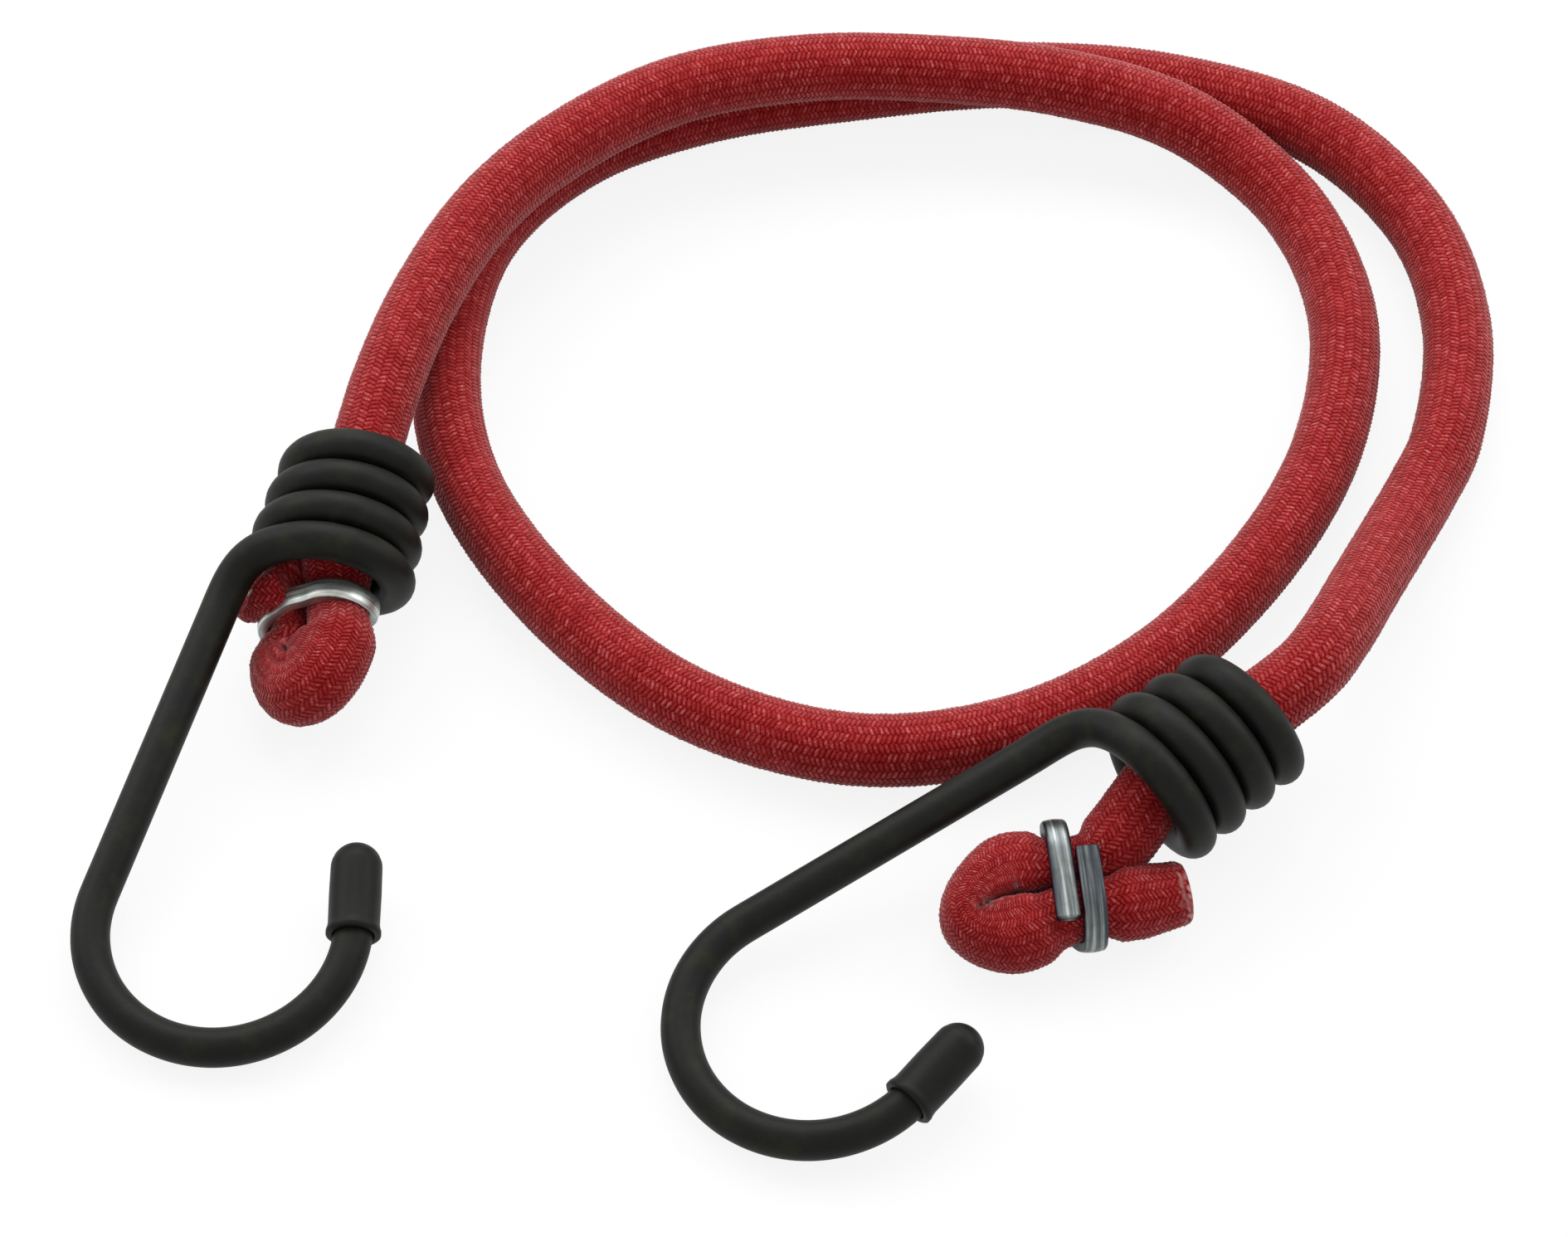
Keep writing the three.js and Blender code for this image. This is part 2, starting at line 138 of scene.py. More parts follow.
# Hog ring
RING_WIDTH = 0.0026
RING_THICKNESS = 0.0014
RING_CORNER = 0.0004
RING_DOME = 0.00008
RING_BEVEL = 0.00015
RING_LEG_SPACING = 0.0029
RING_END_RADIUS = 0.0040
FACE_POINTS = 7
CORNER_ANGLES = (120.0, 150.0, 180.0, 210.0, 240.0)
LEG_POINTS = 8
TURN_POINTS = 17
BACK_POINTS = 11
SWAY_SPAN = 0.5
# Painted shade: spans over which a ring darkens towards its edges and along its last leg
EDGE_SHADE_SPAN = (0.5, 1.0)
LEG_SHADE_SPAN = (0.7, 0.9)

# Stop loop that the ring closes. Shares are of the fold's reach or of its apex.
STRAND_OFFSET = 0.0026
HELD_RADIUS = 0.0033
PINCH_HALF = 0.00265
PINCH_RAMP = 0.0022
STRAIGHT_HALF = 0.0010
FOLD_POINTS = 9
FOLD_STITCHES = 0.8
FINE_POINTS = 4
DENSE_FROM_REACH_SHARE = 0.3
DENSE_APEX_SHARE = 0.6
FILLED_APEX_SHARE = 0.5
PRESSED_APEX_SHARE = 0.6
CREASE_GAP = 0.00004
CREASE_SOFTNESS = 0.0003
CREASE_FADE = 0.003
RELAX_ROUNDS = 30
TIGHT_STITCHES = 0.25

# Cut end of a stop loop's tail. Its rim is given as shares of the radius, and distances past the end.
TAPER_LENGTH = 0.005
FRAY_LENGTH = 0.0009
FRAY_SPAN = (0.55, 0.9)
RIM = (
    (0.97, 0.00035),
    (0.90, 0.00060),
    (0.80, 0.00062),
    (0.74, 0.00030),
    (0.72, -0.00030),
    (0.72, -0.00090),
    (0.72, -0.00150),
)

# Rubber strands in the cut end: one in the middle and two layers round it
CORE_SHARE = 0.7
STRAND_LAYERS = (1, 6, 12)
LAYER_TURN = 0.2
LAYER_STEP_IN_STRANDS = 2.05
CORE_IN_STRANDS = 5.2
STRAND_SIDES = 10
STRAND_POINTS = 8
STRAND_DEPTH = 0.0030
STRAND_UNEVENNESS = 0.0002
STRAND_ROUNDING = 0.2
STRAND_END = ((0.85, 0.0), (0.4, 0.1))

# Swing of a hook, for which its stop loop makes room
SWING_SHARES = (0.0, 0.2, 0.4, 0.6, 0.8, 1.0)
SWING_ROUNDS = 3
SWING_GAP = 0.00015
SWING_REACH = 0.03

# Where the hooks lie, with the stop loop ahead of each coil
LEFT = {
    "front": (-0.0410, 0.0245),
    "heading": -102.0,
    "ring": {
        "ahead": 0.0037,
        "left": -0.0002,
        "turn": 8.0,
        "roll": 38.0,
        "slant": -1,
        "tail_side": -1,
        "sway": 0.0,
        "crown": 0.0004,
        "legs_past_middle": (0.0042, 0.0034),
        # Painted shade at the ring's edges and along its last leg, as shares
        "edge_shade": 0.2,
        "leg_shade": 0.0,
        # Painted light: a share of the brighter copy of the zinc's colour
        "painted_light": 1.0,
    },
    "fold": {
        "radius": 0.0040,
        "reach": 0.0036,
        "apex": 0.0058,
        "droop": 0.0,
        "drift": 0.0,
        "squash": (1.45, 1.0),
        "corners": 6.0,
    },
    "tail": ((0.0020, -0.0029, 0.0087), (0.0020, -0.0054, 0.0083), (0.0021, -0.0088, 0.0063)),
    "tail_taper": 0.92,
    "swing": (-10.0, 50.0),
}
RIGHT = {
    "front": (0.0472, -0.0038),
    "heading": -144.0,
    "ring": {
        "ahead": 0.0117,
        "left": 0.00345,
        "turn": -30.0,
        "roll": -12.0,
        "slant": 1,
        "tail_side": 1,
        "sway": 0.5,
        "crown": 0.0,
        "legs_past_middle": (0.0052, 0.0027),
        # Painted shade at the ring's edges and along its last leg, as shares
        "edge_shade": 1.0,
        "leg_shade": 0.7,
        # Painted light: a share of the brighter copy of the zinc's colour
        "painted_light": 0.0,
    },
    "fold": {
        "radius": 0.0037,
        "reach": 0.0063,
        "apex": 0.0054,
        "droop": 0.0008,
        "drift": 0.0020,
        "squash": (0.7, 0.7),
        "corners": 6.0,
    },
    "tail": ((0.0065, 0.0087, 0.0043), (0.0027, 0.0103, 0.0043)),
    "tail_taper": 0.86,
    "swing": (-45.0, 125.0),
}

# Route of the free cord between the coils
ROUTE = (
    (-0.0354, 0.0504, 0.0123),
    (-0.0318, 0.0624, 0.0125),
    (-0.0256, 0.0755, 0.0125),
    (-0.0169, 0.0861, 0.0121),
    (-0.0036, 0.0952, 0.0120),
    (0.0122, 0.0990, 0.0119),
    (0.0271, 0.0997, 0.0110),
    (0.0417, 0.0987, 0.0098),
    (0.0552, 0.0955, 0.0077),
    (0.0646, 0.0898, 0.0049),
    (0.0708, 0.0808, 0.00405),
    (0.0741, 0.0657, 0.00405),
    (0.0712, 0.0479, 0.00405),
    (0.0626, 0.0311, 0.00405),
    (0.0493, 0.0161, 0.00405),
    (0.0344, 0.0075, 0.00405),
    (0.0172, 0.0051, 0.00405),
    (-0.0004, 0.0109, 0.00405),
    (-0.0151, 0.0236, 0.00405),
    (-0.0266, 0.0420, 0.00405),
    (-0.0297, 0.0605, 0.00405),
    (-0.0259, 0.0792, 0.00405),
    (-0.0150, 0.0922, 0.00405),
    (-0.0004, 0.0994, 0.00405),
    (0.0173, 0.1032, 0.00405),
    (0.0364, 0.1053, 0.00405),
    (0.0552, 0.1035, 0.00405),
    (0.0727, 0.0962, 0.00405),
    (0.0839, 0.0817, 0.00405),
    (0.0872, 0.0654, 0.00405),
    (0.0846, 0.0484, 0.00405),
    (0.0811, 0.0406, 0.0043),
    (0.0771, 0.0325, 0.0058),
    (0.0732, 0.0243, 0.0083),
    (0.0693, 0.0160, 0.0108),
    (0.0659, 0.0105, 0.0117),
)

# Threads of the braid's material: how they fall off at their ends and sides, and how their tone varies,
# with painted shade where they fall off
THREAD_END_POWER = 3.0
THREAD_SIDE_POWER = 2.0
THREAD_END_DROP = 0.45
TONE_MIDDLE = 0.52
RISE_MIDDLE = 0.75
NOISE_MIDDLE = 0.5
TONE_PER_THREAD = 0.34
TONE_PER_GRAIN = 1.5
GRAIN_RELIEF = 0.6

# Tones of each material: places on a scale from 0 to 1, with the colour there
# The braid's tones run from painted shade in the gaps between threads to a painted sheen on the raised
# threads
BRAID_SHADE_TO_SHEEN_TONES = (
    (0.0, (0.180, 0.001, 0.001)),
    (0.4, (0.325, 0.008, 0.010)),
    (0.75, (0.430, 0.036, 0.038)),
    (1.0, (0.560, 0.165, 0.165)),
)
COAT_TONES = (
    (0.3, (0.0030, 0.0036, 0.0036)),
    (0.55, (0.0062, 0.0068, 0.0046)),
    (0.75, (0.0150, 0.0155, 0.0070)),
)
VINYL_TONES = ((0.3, (0.0042, 0.0047, 0.0040)), (0.7, (0.0085, 0.0090, 0.0068)))
ZINC_TONES = (
    (0.36, (0.080, 0.092, 0.102)),
    (0.5, (0.190, 0.208, 0.208)),
    (0.64, (0.450, 0.480, 0.460)),
)
# A brighter copy of the zinc's tones, as painted light on a ring
LIT_ZINC_TONES = (
    (0.36, (0.230, 0.255, 0.260)),
    (0.5, (0.500, 0.530, 0.510)),
    (0.64, (0.800, 0.830, 0.780)),
)
TARNISH_TONES = ((0.45, (1.0, 1.0, 1.0)), (0.75, (0.72, 0.72, 0.62)))
RUBBER_TONES = ((0.3, (0.50, 0.41, 0.28)), (0.7, (0.68, 0.60, 0.45)))
STEEL_TONES = ((0.3, (0.28, 0.28, 0.28)), (0.7, (0.50, 0.50, 0.49)))
WORN_BRAID = (0.62, 0.34, 0.32, 1.0)
BRAID_SHEEN = (1.0, 0.88, 0.88, 1.0)
# Colour of the painted shade at a ring's edges and along one leg
SHADED_ZINC = (0.016, 0.019, 0.032, 1.0)
WHITE = (1.0, 1.0, 1.0, 1.0)

# Stage: a pale floor that keeps a faint shadow, three soft lamps behind the cord and a white surround
FLOOR_HALF = 3.0
FLOOR_SHOWN = 0.87
FLOOR_SHADED = (0.14, 0.14, 0.14, 1.0)
FLOOR_BOUNCE = (0.6, 0.6, 0.6, 1.0)
WORLD_LIGHT = 0.48
LAMP_TARGET = (0.02, 0.04, 0.0)
LAMPS = {
    "back_lamp": {"place": (0.0, 0.55, 0.60), "size": 0.7, "power": 3.8},
    "left_lamp": {"place": (-0.36, 0.22, 0.30), "size": 0.3, "power": 0.7},
    "right_lamp": {"place": (0.40, 0.20, 0.30), "size": 0.3, "power": 0.7},
}

UP = np.array((0.0, 0.0, 1.0))
SPAN_POINTS = 40
AROUND = COLUMNS * COLUMN_POINTS
RANDOM = np.random.default_rng(BRAID_SEED)


# Vectors and curves

def unit(vectors):
    return vectors / np.linalg.norm(vectors, axis=-1, keepdims=True)


def smoothstep(values, low, high):
    share = np.clip((values - low) / (high - low), 0.0, 1.0)
    return share * share * (3.0 - 2.0 * share)


def turned(vector, axis, degrees):
    """The vector turned about a unit axis."""
    angle = math.radians(degrees)
    along = axis * np.dot(axis, vector)
    return along + (vector - along) * math.cos(angle) + np.cross(axis, vector) * math.sin(angle)


def bezier(start, first, second, end, count):
    """Points of a cubic curve after its start."""
    share = np.linspace(0.0, 1.0, count + 1)[1:, None]
    back = 1.0 - share
    return back**3 * start + 3 * back**2 * share * first + 3 * back * share**2 * second + share**3 * end


def smooth_line(points):
    """Centripetal Catmull-Rom curve through points, as a dense line."""
    knots = np.array(points, float)
    knots = np.vstack([2 * knots[0] - knots[1], knots, 2 * knots[-1] - knots[-2]])
    share = np.linspace(0.0, 1.0, SPAN_POINTS, endpoint=False)[:, None]
    spans = []
    for before, start, end, after in zip(knots, knots[1:], knots[2:], knots[3:]):
        gap_in = math.sqrt(np.linalg.norm(start - before))
        gap = math.sqrt(np.linalg.norm(end - start))
        gap_out = math.sqrt(np.linalg.norm(after - end))
        leave = (start - before) / gap_in - (end - before) / (gap_in + gap) + (end - start) / gap
        arrive = (end - start) / gap - (after - start) / (gap + gap_out) + (after - end) / gap_out
        leave *= gap
        arrive *= gap
        squared = 3 * (end - start) - 2 * leave - arrive
        cubed = 2 * (start - end) + leave + arrive
        spans.append(start + share * (leave + share * (squared + share * cubed)))
    return np.vstack([*spans, knots[-2]])


class Line:
    """A line of points that can be asked for the place at a distance along it."""

    def __init__(self, points):
        self.points = points
        steps = np.linalg.norm(np.diff(points, axis=0), axis=1)
        self.along = np.concatenate([[0.0], np.cumsum(steps)])
        self.length = self.along[-1]

    def at(self, distances):
        return np.stack([np.interp(distances, self.along, axis) for axis in self.points.T], axis=-1)


def round_about(first, second, sides):
    """Directions round a circle, from the first direction towards the second."""
    angles = 2 * math.pi * np.arange(sides)[:, None] / sides
    return first * np.cos(angles) + second * np.sin(angles)


def spokes(places, sides):
    """Directions out of a line all round each of its places, carried along it without twist."""
    tangents = unit(np.gradient(places, axis=0))
    normals = np.empty_like(places)
    normal = UP
    for i, tangent in enumerate(tangents):
        normal = unit(normal - tangent * np.dot(normal, tangent))
        normals[i] = normal
    binormals = np.cross(tangents, normals)
    return round_about(normals[:, None], binormals[:, None], sides)


# Meshes

def loft(rings, along=None):
    """Vertices, faces and corner UVs of a closed skin through rings of points. U runs round, V along."""
    count, sides = rings.shape[:2]
    vertices = rings.reshape(-1, 3)
    near = np.arange(sides)
    far = (near + 1) % sides
    base = np.arange(count - 1)[:, None] * sides
    corners = (base + near, base + far, base + sides + far, base + sides + near)
    quads = np.stack(corners, axis=-1).reshape(-1, 4)
    middles = rings.mean(axis=1)
    if along is None:
        along = Line(middles).along
    start_u = near / sides
    end_u = (near + 1) / sides
    corner_u = np.stack([start_u, end_u, end_u, start_u], axis=-1)
    corner_u = np.broadcast_to(corner_u, (count - 1, sides, 4))
    corner_v = np.stack([along[:-1], along[:-1], along[1:], along[1:]], axis=-1)
    corner_v = np.broadcast_to(corner_v[:, None, :], (count - 1, sides, 4))
    uvs = np.stack([corner_u, corner_v], axis=-1).reshape(-1, 2)
    faces = quads.tolist()
    end_uvs = []
    for ring, flip in ((0, True), (count - 1, False)):
        hub = len(vertices)
        vertices = np.vstack([vertices, middles[ring]])
        for i in range(sides):
            pair = (far[i], near[i]) if flip else (near[i], far[i])
            faces.append([ring * sides + pair[0], ring * sides + pair[1], hub])
            end_uvs += [(start_u[i], along[ring])] * 3
    return vertices, faces, np.vstack([uvs, end_uvs])


def link(name, data):
    """A new object in the scene."""
    thing = bpy.data.objects.new(name, data)
    bpy.context.scene.collection.objects.link(thing)
    return thing


def add_piece(name, shape, materials, sharpness):
    vertices, faces, uvs = shape
    mesh = bpy.data.meshes.new(name)
    mesh.from_pydata(vertices.tolist(), [], faces)
    mesh.uv_layers.new(name="around_along").data.foreach_set("uv", uvs.ravel())
    mesh.polygons.foreach_set("use_smooth", [True] * len(mesh.polygons))
    mesh.set_sharp_from_angle(angle=math.radians(sharpness))
    for material in materials:
        mesh.materials.append(material)
    return link(name, mesh)


def set_values(piece, name, values):
    """A number at each point of a mesh, which its material reads."""
    spare = len(piece.data.vertices) - values.size
    filled = np.concatenate([values.ravel(), np.full(spare, values.mean())])
    piece.data.attributes.new(name, "FLOAT", "POINT").data.foreach_set("value", filled)


def stand_for(piece, node, body):
    """Puts a piece in the place of a node of the CAD model, on the body that carries it."""
    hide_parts(node)
    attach(piece, body)


# Materials

class Nodes:
    """The node tree of a new material or world, with short ways to add and link nodes."""

    def __init__(self, owner):
        owner.use_nodes = True
        self.owner = owner
        self.tree = owner.node_tree
        self.tree.nodes.clear()

    def add(self, kind, inputs=None, **settings):
        node = self.tree.nodes.new(kind)
        for key, value in settings.items():
            setattr(node, key, value)
        for socket, value in (inputs or {}).items():
            if isinstance(value, bpy.types.NodeSocket):
                self.tree.links.new(value, node.inputs[socket])
            else:
                node.inputs[socket].default_value = value
        return node

    def attribute(self, name):
        return self.add("ShaderNodeAttribute", attribute_name=name).outputs["Fac"]

    def ramp(self, factor, tones):
        node = self.add("ShaderNodeValToRGB", {"Fac": factor})
        elements = node.color_ramp.elements
        while len(elements) < len(tones):
            elements.new(1.0)
        for element, (place, colour) in zip(elements, tones):
            element.position = place
            element.color = (*colour, 1.0)
        return node.outputs["Color"]

    def span(self, value, low, high):
        """A number from 0 to 1 spread from low to high."""
        node = self.add("ShaderNodeMapRange", {"Value": value, "To Min": low, "To Max": high})
        return node.outputs["Result"]

    def math(self, operation, *values, clamp=False):
        node = self.add("ShaderNodeMath", dict(enumerate(values)), operation=operation)
        node.use_clamp = clamp
        return node.outputs[0]

    def vary(self, base, value, middle, amount):
        """The base, plus so much of what the value has over its middle."""
        return self.math("MULTIPLY_ADD", self.math("SUBTRACT", value, middle), amount, base)

    def noise(self, scale, detail=3.0, stretch=None, space="Object"):
        source = self.add("ShaderNodeTexCoord").outputs[space]
        if stretch:
            mapping = self.add("ShaderNodeMapping", {"Vector": source, "Scale": stretch})
            source = mapping.outputs["Vector"]
        inputs = {"Vector": source, "Scale": scale, "Detail": detail}
        return self.add("ShaderNodeTexNoise", inputs).outputs["Fac"]

    def bump(self, height, distance, strength):
        inputs = {"Height": height, "Distance": distance, "Strength": strength}
        return self.add("ShaderNodeBump", inputs).outputs["Normal"]

    def mix(self, factor, first, second, blend_type="MIX"):
        inputs = {0: factor, 6: first, 7: second}
        return self.add("ShaderNodeMix", inputs, data_type="RGBA", blend_type=blend_type).outputs[2]

    def seen_directly(self):
        """A number that is 1 for what the camera sees, also in mirrors and through glass."""
        rays = self.add("ShaderNodeLightPath").outputs
        seen = self.math("MAXIMUM", rays["Is Camera Ray"], rays["Is Glossy Ray"])
        return self.math("MAXIMUM", seen, rays["Is Transmission Ray"])

    def surface(self, **sockets):
        """Ends a material in one surface, with its sockets' names written with underscores."""
        names = {key.replace("_", " "): value for key, value in sockets.items()}
        return self.finish(self.add("ShaderNodeBsdfPrincipled", names))

    def finish(self, shader, output="ShaderNodeOutputMaterial"):
        self.add(output, {"Surface": shader.outputs[0]})
        return self.owner


def braid_material():
    """Threads that float over a column of the braid and dive under the next, with painted shade where
    they dive and a painted sheen on their crests.
    """
    nodes = Nodes(bpy.data.materials.new("braid"))
    place = nodes.add("ShaderNodeSeparateXYZ", {"Vector": nodes.add("ShaderNodeTexCoord").outputs["UV"]})
    column = nodes.math("MULTIPLY", place.outputs["X"], COLUMNS)
    odd = nodes.math("MODULO", nodes.math("FLOOR", column), 2.0)
    row = nodes.math("ADD", place.outputs["Y"], nodes.math("MULTIPLY_ADD", odd, 0.5, 0.5))
    across = nodes.math("PINGPONG", nodes.math("ADD", column, 0.5), 0.5)
    along = nodes.math("PINGPONG", nodes.math("ADD", row, 0.5), 0.5)
    ends = nodes.math("POWER", nodes.math("MULTIPLY", across, 2.0), THREAD_END_POWER)
    sides = nodes.math("POWER", nodes.math("MULTIPLY", along, 2.0), THREAD_SIDE_POWER)
    fall = nodes.math("MULTIPLY_ADD", ends, THREAD_END_DROP, sides)
    rise = nodes.math("SUBTRACT", 1.0, fall, clamp=True)
    cell = nodes.add(
        "ShaderNodeCombineXYZ",
        {"X": nodes.math("FLOOR", column), "Y": nodes.math("FLOOR", row)},
    )
    chance = nodes.add("ShaderNodeTexWhiteNoise", {"Vector": cell.outputs[0]}).outputs["Value"]
    crisp = nodes.span(nodes.noise(scale=160.0), low=0.15, high=0.95)
    grain = nodes.noise(scale=4200.0, detail=2.0)
    # Painted shade and sheen: the tone falls where a thread dives and rises on its crest, more in some
    # patches than others; the thread and grain noise is the yarn's own tone
    tone = nodes.vary(TONE_MIDDLE, rise, RISE_MIDDLE, crisp)
    tone = nodes.vary(tone, chance, NOISE_MIDDLE, TONE_PER_THREAD)
    tone = nodes.vary(tone, grain, NOISE_MIDDLE, TONE_PER_GRAIN)
    shaded_red = nodes.ramp(tone, BRAID_SHADE_TO_SHEEN_TONES)
    relief = nodes.math("MULTIPLY_ADD", grain, GRAIN_RELIEF, rise)
    return nodes.surface(
        Base_Color=nodes.mix(nodes.attribute("wear"), shaded_red, WORN_BRAID),
        Roughness=0.6,
        IOR=1.25,
        Specular_IOR_Level=nodes.span(rise, low=0.0, high=0.25),
        Sheen_Weight=nodes.span(rise, low=0.15, high=0.6),
        Sheen_Roughness=0.45,
        Sheen_Tint=BRAID_SHEEN,
        Normal=nodes.bump(relief, distance=0.00009, strength=0.9),
    )


def coat_material():
    nodes = Nodes(bpy.data.materials.new("coated_wire"))
    mottle = nodes.noise(scale=420.0, detail=4.0)
    grain = nodes.noise(scale=2600.0, detail=2.0)
    return nodes.surface(
        Base_Color=nodes.ramp(mottle, COAT_TONES),
        Roughness=nodes.span(mottle, low=0.44, high=0.60),
        IOR=1.35,
        Specular_IOR_Level=0.3,
        Normal=nodes.bump(grain, distance=0.00006, strength=0.35),
    )


def vinyl_material():
    nodes = Nodes(bpy.data.materials.new("vinyl"))
    mottle = nodes.noise(scale=500.0, detail=4.0)
    grain = nodes.noise(scale=3200.0, detail=2.0)
    return nodes.surface(
        Base_Color=nodes.ramp(mottle, VINYL_TONES),
        Roughness=nodes.span(mottle, low=0.42, high=0.58),
        IOR=1.35,
        Specular_IOR_Level=0.28,
        Normal=nodes.bump(grain, distance=0.00005, strength=0.3),
    )


def zinc_material():
    """Plated flat wire with streaks along it. A brighter copy of its colour on one ring is painted light,
    and the darkening at its edges and along one leg is painted shade.
    """
    nodes = Nodes(bpy.data.materials.new("zinc"))
    streaks = nodes.noise(scale=1.0, stretch=(15.0, 70.0, 1.0), space="UV")
    blotches = nodes.noise(scale=700.0)
    plain = nodes.ramp(streaks, ZINC_TONES)
    lit_colour = nodes.ramp(streaks, LIT_ZINC_TONES)
    # Painted light: the brighter copy of the colour where a ring is given it
    colour = nodes.mix(nodes.attribute("painted_light"), plain, lit_colour)
    colour = nodes.mix(1.0, colour, nodes.ramp(blotches, TARNISH_TONES), "MULTIPLY")
    return nodes.surface(
        # Painted shade towards the edges and along one leg, read from the edge values
        Base_Color=nodes.mix(nodes.attribute("edge"), colour, SHADED_ZINC),
        Metallic=1.0,
        Roughness=nodes.span(blotches, low=0.3, high=0.5),
        Normal=nodes.bump(streaks, distance=0.00008, strength=0.4),
    )


def rubber_material():
    nodes = Nodes(bpy.data.materials.new("rubber"))
    speckle = nodes.noise(scale=900.0)
    return nodes.surface(
        Base_Color=nodes.ramp(speckle, RUBBER_TONES),
        Roughness=nodes.span(speckle, low=0.6, high=0.8),
        Specular_IOR_Level=0.3,
        Normal=nodes.bump(speckle, distance=0.00005, strength=0.4),
    )


def steel_material():
    """Cut end of a wire, with the scratches of the cutter across it."""
    nodes = Nodes(bpy.data.materials.new("cut_steel"))
    scratches = nodes.noise(scale=1.0, stretch=(300.0, 2600.0, 2600.0))
    return nodes.surface(
        Base_Color=nodes.ramp(scratches, STEEL_TONES),
        Metallic=1.0,
        Roughness=nodes.span(scratches, low=0.3, high=0.5),
        Normal=nodes.bump(scratches, distance=0.00003, strength=0.4),
    )


MATERIALS = {
    "braid": braid_material(),
    "coat": coat_material(),
    "vinyl": vinyl_material(),
    "zinc": zinc_material(),
    "rubber": rubber_material(),
    "steel": steel_material(),
}


# Braid

def stitch_heights(rows):
    """Height of each point over the mean tube, for rows of a braid."""
    row = np.arange(rows)[:, None]
    column = np.arange(AROUND)[None, :] // COLUMN_POINTS
    middle = np.arange(AROUND) % COLUMN_POINTS == COLUMN_POINTS // 2
    crest = STITCH_CREST * (LEAST_CREST + RANDOM.random((rows, AROUND)))
    height = np.where((row + column) % 2 == 0, crest, STITCH_VALLEY)
    return np.where(middle, height, STITCH_EDGE)


def zigzag():
    """Shift along the cord of each point round it, so that the columns slant to and fro."""
    place = np.arange(AROUND) / COLUMN_POINTS
    return 1.0 - 2.0 * np.abs(place % 2.0 - 1.0)


def tube(places, radii):
    """Rings of a tube along places, whose thickness is slightly uneven."""
    lumps = LUMP_SIZE * np.sin(np.arange(len(places)) * LUMP_TURN)
    return places[:, None, :] + spokes(places, AROUND) * (radii + lumps)[:, None, None]


def weave(rings, slant):
    """Gives a tube's skin the stitches of a braid, which slant by so many rows across a column."""
    count = len(rings)
    row = np.arange(count)
    fade = np.minimum(np.minimum(row, row[::-1]) / SLANT_FADE, 1.0)
    place = np.clip(row[:, None] + slant * fade[:, None] * zigzag(), 0.0, count - 1.0)
    before = np.minimum(place.astype(int), count - 2)
    share = (place - before)[..., None]
    column = np.arange(AROUND)
    slanted = rings[before, column] * (1.0 - share) + rings[before + 1, column] * share
    outward = unit(slanted - slanted.mean(axis=1, keepdims=True))
    return slanted + outward * stitch_heights(count)[..., None]


def rest_on_floor(rings):
    """Flattens the underside of a cord where it lies on the floor."""
    rings[..., 2] = np.maximum(rings[..., 2], FLOOR_GAP)
    return rings


# Hook frames

def level_axes(degrees):
    """Directions ahead and to the left of a heading on the floor."""
    heading = math.radians(degrees)
    ahead = np.array((math.cos(heading), math.sin(heading), 0.0))
    left = np.array((-math.sin(heading), math.cos(heading), 0.0))
    return ahead, left


def hook_axes(end):
    """Place of a coil's front, and the directions forward, left and up of its hook."""
    ahead, left = level_axes(end["heading"])
    dip = math.radians(HOOK_DIP)
    forward = ahead * math.cos(dip) - UP * math.sin(dip)
    upward = ahead * math.sin(dip) + UP * math.cos(dip)
    return np.array((*end["front"], AXIS_HEIGHT)), forward, left, upward


def in_hook(end, points):
    """Points of a hook's own frame, in the model's frame."""
    place, forward, left, upward = hook_axes(end)
    points = np.asarray(points, float)
    return place + points[..., :1] * forward + points[..., 1:2] * left + points[..., 2:] * upward


def coil_axis(end, *alongs):
    """Places on the axis of a coil, at distances ahead of its front."""
    return [in_hook(end, (along, 0.0, 0.0)) for along in alongs]


def beside_hook(end, ahead, left, height):
    """A place ahead of a coil's front and to its left, at a height over the floor."""
    along, aside = level_axes(end["heading"])
    return np.array((*end["front"], height)) + along * ahead + aside * left


# Free cord

def add_free_cord():
    """The loop from the left coil, and the lead into the right one, cut from one braid."""
    middle = -CAD_COIL_LENGTH / 2
    back = -CAD_COIL_LENGTH
    inside = (middle - JOINT_GAP / 2, (middle + back) / 2, back - WIRE_RADIUS)
    line = Line(smooth_line([*coil_axis(LEFT, *inside), *ROUTE, *coil_axis(RIGHT, *inside[::-1])]))
    rows = int(round(STITCH_ROWS * line.length / STITCH)) + 1
    places = line.at(np.linspace(0.0, line.length, rows))
    rings = rest_on_floor(weave(tube(places, np.full(rows, CORD_RADIUS)), STITCH_SLANT))
    stitches = np.arange(rows) / STITCH_ROWS
    seam = int(round((line.length - LEAD_LENGTH) / line.length * (rows - 1)))
    cords = {}
    for name, part in (("cord_loop", slice(0, seam + 1)), ("cord_lead", slice(seam, rows))):
        shape = loft(rings[part], stitches[part])
        cord = add_piece(name, shape, [MATERIALS["braid"]], BRAID_SHARPNESS)
        set_values(cord, "wear", np.zeros(rings[part].shape[:2]))
        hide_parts(name + "_sheath", name + "_core")
        cords[name] = cord
    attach(cords["cord_loop"], "cord")
    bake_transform(cords["cord_lead"])


# Hook

def coil_point(turns_back):
    angle = math.radians(COIL_EXIT_ANGLE - 360.0 * turns_back)
    flare = COIL_FRONT_RADIUS - COIL_REAR_RADIUS
    radius = COIL_FRONT_RADIUS - flare * turns_back / COIL_TURNS
    return np.array((-turns_back * COIL_PITCH, radius * math.cos(angle), radius * math.sin(angle)))


